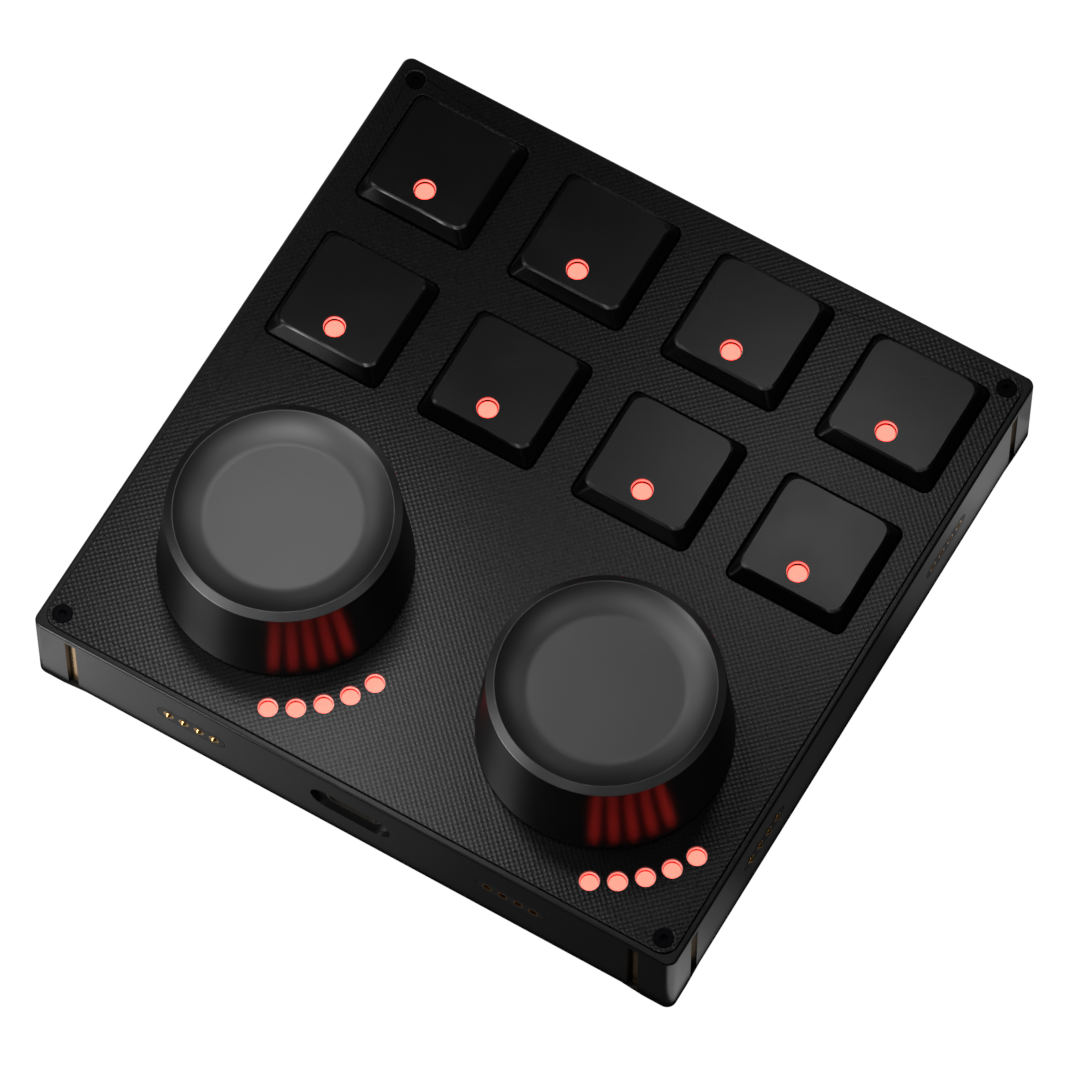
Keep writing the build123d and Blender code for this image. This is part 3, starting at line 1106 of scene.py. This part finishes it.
@dataclass
class Knob(SubAssembly):
    """One endless knob on its encoder, turned with a dished top.

    Attributes:
        hand: Which knob it is.
        foot_chamfer: The bevel at its foot.
        shoulder: The diameter where the side ends.
        shoulder_drop: How far the shoulder lies under the rim.
        rim: The diameter of the rim.
        dish: The diameter of the dish's flat floor.
        dish_depth: The depth of the dish.
        turn: The width of the band in which the floor turns up into the slope.
        turn_deg: The slope's angle where that band ends.
        bore: The diameter of the hollow under it.
        bore_drop: How far the hollow's roof lies under the rim.
        edge: The rounding of its upper edges.
        foot_edge: The rounding of the edges at its foot.
        roof_edge: The rounding where the hollow's wall meets its roof.
        pinhole: The radius at which its faces end round the axis, too small to be seen.
        scoop_steps: Steps in each arc of the dish.
    """

    hand: Hand
    foot_chamfer: float = 0.3
    shoulder: float = 34.3
    shoulder_drop: float = 0.77
    rim: float = 31.8
    dish: float = 22.0
    dish_depth: float = 2.2
    turn: float = 1.1
    turn_deg: float = 16.0
    bore: float = 31.0
    bore_drop: float = 4.2
    edge: float = 0.12
    foot_edge: float = 0.1
    roof_edge: float = 0.2
    pinhole: float = 0.0001
    scoop_steps: int = 8

    def scoop(self, top: float) -> list[Corner]:
        """Shapes the dish from its rim down to its floor: a long arc, then a short one.

        Args:
            top: The height of the rim.

        Returns:
            The corners between the rim and the middle of the floor.
        """
        bend = math.radians(self.turn_deg)
        turn_radius = self.turn / math.sin(bend)
        floor = top - self.dish_depth
        knee = Vector((self.dish / 2 + self.turn, floor + turn_radius * (1 - math.cos(bend))))
        chord = Vector((self.rim / 2, top)) - knee
        climb = math.atan2(chord.y, chord.x)
        slope_radius = chord.length / (2 * math.sin(climb - bend))
        arcs = (
            (slope_radius, 2 * climb - bend, bend, knee),
            (turn_radius, bend, 0.0, Vector((self.dish / 2, floor))),
        )
        corners = []
        for radius, start, end, foot in arcs:
            for step in range(1, self.scoop_steps + 1):
                angle = start + (end - start) * step / self.scoop_steps
                across = radius * (math.sin(angle) - math.sin(end))
                rise = radius * (math.cos(end) - math.cos(angle))
                corners.append(Corner(foot.x + across, foot.y + rise, band=Band.DISH))
        return corners

    def build(self) -> None:
        """Turns the knob."""
        node = f"knob_{self.hand.value}"
        low, high = box_mm(node)
        base, foot, top = (high.x - low.x) / 2, low.z, high.z
        shoulder = top - self.shoulder_drop
        lean = (base - self.shoulder / 2) / (shoulder - foot)
        roof = top - self.bore_drop
        bevel = self.foot_chamfer
        corners = [
            Corner(self.pinhole, roof),
            Corner(self.bore / 2, roof, self.roof_edge),
            Corner(self.bore / 2, foot, self.foot_edge),
            Corner(base - bevel, foot, self.foot_edge),
            Corner(base - lean * bevel, foot + bevel, self.foot_edge),
            Corner(self.shoulder / 2, shoulder, self.edge, Band.CHAMFER),
            Corner(self.rim / 2, top, self.edge, Band.DISH),
            *self.scoop(top),
            Corner(self.pinhole, top - self.dish_depth, band=Band.DISH),
        ]
        finishes = (PolishedBlackAnodising(), CutChamferAnodising(), BlastedBlackAnodising())
        knob = Lathe().turn(f"turned_{node}", corners, middle_of(node), finishes)
        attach(knob, f"dial_{self.hand.value}")
        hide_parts(node)
        LOG.info("turned %s", knob.name)

    def dress(self) -> None:
        """Dresses what carries the knob."""
        self.give(f"knob_insert_{self.hand.value}", GlassFilledNylon())
        self.give(f"encoder_shaft_{self.hand.value}", TumbledNickelPlate())
        self.give(f"encoder_body_{self.hand.value}", GlassFilledNylon())


@dataclass
class LightArcs(SubAssembly):
    """The two arcs of lights in front of the knobs.

    Attributes:
        radius: The arc's distance from the knob's axis.
        middle_deg: The direction of its middle light.
        step_deg: The angle between two lights.
        lights: How many lights an arc has.
        lip: The milky lip in a hole of the plate.
        lip_drop: How far the lip ends below the plate's top.
        lip_height: The lip's height.
    """

    radius: float = 23.6
    middle_deg: float = -45.8
    step_deg: float = 9.8
    lights: int = 5
    lip: MilkyLip = MilkyLip(bore=3.0, wall=0.15)
    lip_drop: float = 0.2
    lip_height: float = 0.38

    def build(self) -> None:
        """Lines the holes."""
        top = box_mm("faceplate")[1].z - self.lip_drop
        bottom = top - self.lip_height
        for hand in Hand:
            x, y = middle_of(f"knob_{hand.value}")
            for index in range(self.lights):
                turn = self.middle_deg + (index - (self.lights - 1) / 2) * self.step_deg
                angle = math.radians(turn)
                spot = (x + self.radius * math.cos(angle), y + self.radius * math.sin(angle))
                lip = self.lip.line(f"arc_lip_{hand.value}_{index + 1}", spot, top, bottom)
                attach(lip, "case")

    def dress(self) -> None:
        """Dresses the light guides."""
        self.give("light_guides", LitMilkyPolycarbonate())


@dataclass
class Sides(SubAssembly):
    """What the walls carry: contact groups, magnets and the socket.

    Attributes:
        pin_edge: The broken edges of the contact pins.
        strip: The width, length and thickness of a contact on the socket's tongue.
        strip_start: How far the strips start behind the tongue's front end.
        strips: How many contacts there are on each face of the tongue.
        strip_pitch: Their spacing.
    """

    pin_edge: BrokenEdge = BrokenEdge(radius=0.08)
    strip: Point = (0.25, 3.6, 0.03)
    strip_start: float = 0.35
    strips: int = 12
    strip_pitch: float = 0.5

    def build(self) -> None:
        """Lays the gold strips on both faces of the socket's tongue."""
        low, high = box_mm("usb_tongue")
        width, length, thickness = self.strip
        start = low.y + self.strip_start
        points: list[Point] = []
        faces: list[Face] = []
        for surface, way in ((high.z, 1), (low.z, -1)):
            for index in range(self.strips):
                x = (index - (self.strips - 1) / 2) * self.strip_pitch
                base = len(points)
                for z in (surface, surface + way * thickness):
                    for dx, dy in ((-1, 0), (1, 0), (1, 1), (-1, 1)):
                        points.append((x + dx * width / 2, start + dy * length, z))
                # Every face but the one that lies on the tongue.
                for ring in ((0, 1, 5, 4), (1, 2, 6, 5), (2, 3, 7, 6), (3, 0, 4, 7), (4, 5, 6, 7)):
                    faces.append(tuple(base + i for i in ring[::way]))
        strips = add_piece("tongue_contacts", points, faces, [BrightGoldPlate().material()])
        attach(strips, "case")
        LOG.info("laid %s", strips.name)

    def dress(self) -> None:
        """Dresses the contacts, magnets and socket."""
        for side in Side:
            self.give(f"contact_pins_{side.value}", BrightGoldPlate(), self.pin_edge)
        self.give("contact_barrels", BrightGoldPlate())
        self.give("contact_blocks", GlassFilledNylon())
        self.give("magnets", PlatedMagnet())
        self.give("usb_shell", TumbledNickelPlate())
        self.give("usb_tongue", GlassFilledNylon())


@dataclass
class Electronics(SubAssembly):
    """The main board, its light chips and the encoders' nuts."""

    def dress(self) -> None:
        """Dresses the board and what stands on it."""
        self.give("main_board", GreenSolderMask())
        self.give("board_leds", ClearCastEpoxy())
        self.give("encoder_nuts", TumbledNickelPlate())


def point_at(name: str, data: bpy.types.ID, place: Point, aim: Point) -> bpy.types.Object:
    """Adds a lamp or a camera that looks at a point.

    Args:
        name: Its name.
        data: The lamp or camera.
        place: Where it is, in metres.
        aim: What it looks at, in metres.

    Returns:
        The new object.
    """
    made = bpy.data.objects.new(name, data)
    bpy.context.scene.collection.objects.link(made)
    made.location = place
    way = Vector(aim) - Vector(place)
    made.rotation_euler = way.to_track_quat("-Z", "Y").to_euler()
    return made


@dataclass(frozen=True)
class Softbox:
    """One soft light of the studio.

    Attributes:
        name: Where it is and how far off.
        place: Where it hangs, in metres.
        size: Its width and height, in metres.
        watts: Its power.
        aim: What it points at, in metres.
    """

    name: str
    place: Point
    size: Pair
    watts: float
    aim: Point = (0.0, 0.0, 0.015)

    def hang(self) -> None:
        """Hangs the softbox, unseen by the camera, and points it at its aim."""
        lamp = bpy.data.lights.new(self.name, "AREA")
        lamp.shape = "RECTANGLE"
        lamp.size, lamp.size_y = self.size
        lamp.energy = self.watts
        point_at(self.name, lamp, self.place, self.aim).visible_camera = False
        LOG.info("hung %s", self.name)


@dataclass(frozen=True)
class FloorCard:
    """A pale card on the floor before a wall, which the wall mirrors to the camera.

    Attributes:
        name: Which wall it lies before.
        low: Its left front corner, in metres.
        high: Its right back corner, in metres.
        levels: How bright it is at shares of its length.
        height: How high it lies, in metres.
    """

    name: str
    low: Pair
    high: Pair
    levels: tuple[Pair, ...]
    height: float = 0.0008

    def lay(self) -> None:
        """Lays the card, unseen by the camera, and lights it unevenly along its length."""
        (x0, y0), (x1, y1) = self.low, self.high
        paper = bpy.data.materials.new(self.name)
        tree = empty_tree(paper)
        place = add_node(tree, "ShaderNodeTexCoord").outputs["Generated"]
        along = "X" if x1 - x0 > y1 - y0 else "Y"
        share = add_node(tree, "ShaderNodeSeparateXYZ", {0: place}).outputs[along]
        ramp = add_node(tree, "ShaderNodeValToRGB", {"Fac": share})
        stops = ramp.color_ramp.elements
        while len(stops) < len(self.levels):
            stops.new(1.0)
        for stop, (position, level) in zip(stops, self.levels):
            stop.position = position
            stop.color = (level, level, level, 1.0)
        glow = add_node(tree, "ShaderNodeEmission", {"Strength": ramp.outputs["Color"]})
        add_node(tree, "ShaderNodeOutputMaterial", {"Surface": glow.outputs[0]})
        corners = [(x, y, self.height) for x, y in ((x0, y0), (x1, y0), (x1, y1), (x0, y1))]
        card = add_piece(self.name, corners, [(0, 1, 2, 3)], [paper], unit=1.0)
        card.visible_camera = False
        LOG.info("laid %s", self.name)


@dataclass
class Studio:
    """The pale floor, the white surroundings, the softboxes, the floor cards and the camera.

    Attributes:
        floor_side: The floor's side, in metres.
        floor_tone: The floor's colour to everything but the camera.
        dimness: How bright the surroundings are to everything but the camera.
        camera_at: The camera's place, in metres.
        camera_aim: The point in the middle of the picture, in metres.
        lens: The camera's focal length.
        film: The width of its film.
        reach: The nearest and the farthest distance that it sees, in metres.
        boxes: The soft lights.
        cards: The pale cards.
    """

    floor_side: float = 6.0
    floor_tone: str = "3a3a3a"
    dimness: float = 0.02
    camera_at: Point = (0.286734, -0.492121, 1.254352)
    camera_aim: Point = (-0.0015217, 0.0014237, 0.0008)
    lens: float = 317.24
    film: float = 36.0
    reach: Pair = (0.05, 50.0)
    boxes: tuple[Softbox, ...] = (
        # Mirrored by the left dish and by the plate in front of the middle.
        Softbox("overhead_left", (-0.062, 0.027, 0.25), (0.036, 0.056), 0.031),
        # Mirrored by the right-hand keys and the plate between them.
        Softbox("overhead_back", (-0.009, 0.110, 0.25), (0.045, 0.050), 0.0153),
        # The left sides of the dishes' slopes, from high on the right.
        Softbox("high_right_back", (0.283, 0.49, 0.586), (0.2, 0.2), 0.16),
        Softbox("high_right", (0.40, 0.0, 0.713), (0.2, 0.2), 0.23),
        Softbox("high_right_front", (0.283, -0.283, 0.713), (0.2, 0.2), 0.09),
        Softbox("high_front", (0.0, -0.40, 0.713), (0.2, 0.2), 0.25),
        # The upper left slope of the left dish, from close above.
        Softbox("close_front", (-0.022, -0.048, 0.12), (0.03, 0.03), 0.011, (-0.04, -0.02, 0.03)),
        # The floor of the left dish, which is the brighter one.
        Softbox("close_left", (-0.050, 0.013, 0.13), (0.03, 0.03), 0.0044,
                (-0.0267, -0.0264, 0.03)),
        # The right sides of the slopes, and a faint sheen over the back of the plate.
        Softbox("near_left", (-0.212, 0.0, 0.232), (0.06, 0.06), 0.024),
        Softbox("near_left_front", (-0.184, -0.106, 0.232), (0.06, 0.06), 0.035),
        Softbox("low_left_back", (-0.141, 0.082, 0.112), (0.07, 0.07), 0.0076),
        # The lower sides of the slopes.
        Softbox("low_back", (-0.05, 0.45, 0.25), (0.18, 0.18), 0.05),
        # The upright bands on the knobs' sides.
        Softbox("band_low", (-0.09, -0.155, 0.052), (0.07, 0.07), 0.13),
        Softbox("band_high", (-0.082, -0.141, 0.112), (0.07, 0.07), 0.014),
    )
    cards: tuple[FloorCard, ...] = (
        # Bright beside the left corner, then ever weaker: the wall fades to black on the right.
        FloorCard("front_card", (-0.060, -0.0655), (0.054, -0.0538),
                  ((0.0, 0.95), (0.07, 0.8), (0.16, 0.53), (0.25, 0.4),
                   (0.33, 0.24), (0.51, 0.12), (0.7, 0.05), (1.0, 0.025))),
        # Bright at both ends of the right wall, with a dark stretch between them.
        FloorCard("right_card", (0.0538, -0.060), (0.0655, 0.060),
                  ((0.0, 0.8), (0.083, 0.65), (0.167, 0.23), (0.25, 0.06),
                   (0.6, 0.04), (0.667, 0.12), (0.75, 0.2), (0.833, 0.54), (1.0, 0.45))),
        # Even, for the two walls that the photograph doesn't show.
        FloorCard("back_card", (-0.060, 0.0538), (0.060, 0.100), ((0.0, 0.35), (1.0, 0.2))),
        FloorCard("left_card", (-0.100, -0.060), (-0.0538, 0.060), ((0.0, 0.35), (1.0, 0.2))),
    )

    def lay_floor(self) -> None:
        """Lays the floor, which is white in the picture and dark grey to everything else."""
        paper = bpy.data.materials.new("white_backdrop_paper")
        tree = empty_tree(paper)
        seen = add_node(tree, "ShaderNodeLightPath").outputs["Is Camera Ray"]
        white = {"Color": (1, 1, 1, 1), "Strength": seen}
        glow = add_node(tree, "ShaderNodeEmission", white).outputs[0]
        tone = {"Color": linear(self.floor_tone)}
        matt = add_node(tree, "ShaderNodeBsdfDiffuse", tone).outputs[0]
        both = add_node(tree, "ShaderNodeAddShader", {0: glow, 1: matt}).outputs[0]
        add_node(tree, "ShaderNodeOutputMaterial", {"Surface": both})
        half = self.floor_side / 2
        corners = [(-half, -half, 0), (half, -half, 0), (half, half, 0), (-half, half, 0)]
        floor = add_piece("studio_floor", corners, [(0, 1, 2, 3)], [paper], unit=1.0)
        LOG.info("laid %s", floor.name)

    def surround(self) -> None:
        """Makes the surroundings white in the picture and dim to everything else."""
        world = bpy.data.worlds.new("studio_surroundings")
        tree = empty_tree(world)
        seen = add_node(tree, "ShaderNodeLightPath").outputs["Is Camera Ray"]
        ends = {"Value": seen, "To Min": self.dimness}
        level = add_node(tree, "ShaderNodeMapRange", ends).outputs["Result"]
        sky = add_node(tree, "ShaderNodeBackground", {"Color": (1, 1, 1, 1), "Strength": level})
        add_node(tree, "ShaderNodeOutputWorld", {"Surface": sky.outputs[0]})
        bpy.context.scene.world = world

    def set_camera(self) -> None:
        """Sets the camera at the photograph's viewing angle."""
        lens = bpy.data.cameras.new("picture_camera")
        lens.lens = self.lens
        lens.sensor_width = self.film
        lens.clip_start, lens.clip_end = self.reach
        camera = point_at("picture_camera", lens, self.camera_at, self.camera_aim)
        bpy.context.scene.camera = camera

    def build(self) -> None:
        """Sets up the whole studio."""
        self.lay_floor()
        self.surround()
        self.set_camera()
        for box in self.boxes:
            box.hang()
        for card in self.cards:
            card.lay()
        bpy.context.scene.view_settings.view_transform = "Standard"


def main() -> None:
    """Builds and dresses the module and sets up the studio."""
    logging.basicConfig(level=logging.INFO, format="%(name)s: %(message)s")
    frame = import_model()
    nodes = frame["nodes"]
    knobs = [Knob(nodes, hand) for hand in Hand]
    arcs, sides, electronics = LightArcs(nodes), Sides(nodes), Electronics(nodes)
    groups = (Case(nodes), Keypad(nodes), *knobs, arcs, sides, electronics)
    for group in groups:
        group.build()
    for group in groups:
        group.dress()
    Studio().build()


if __name__ == "__main__":
    main()
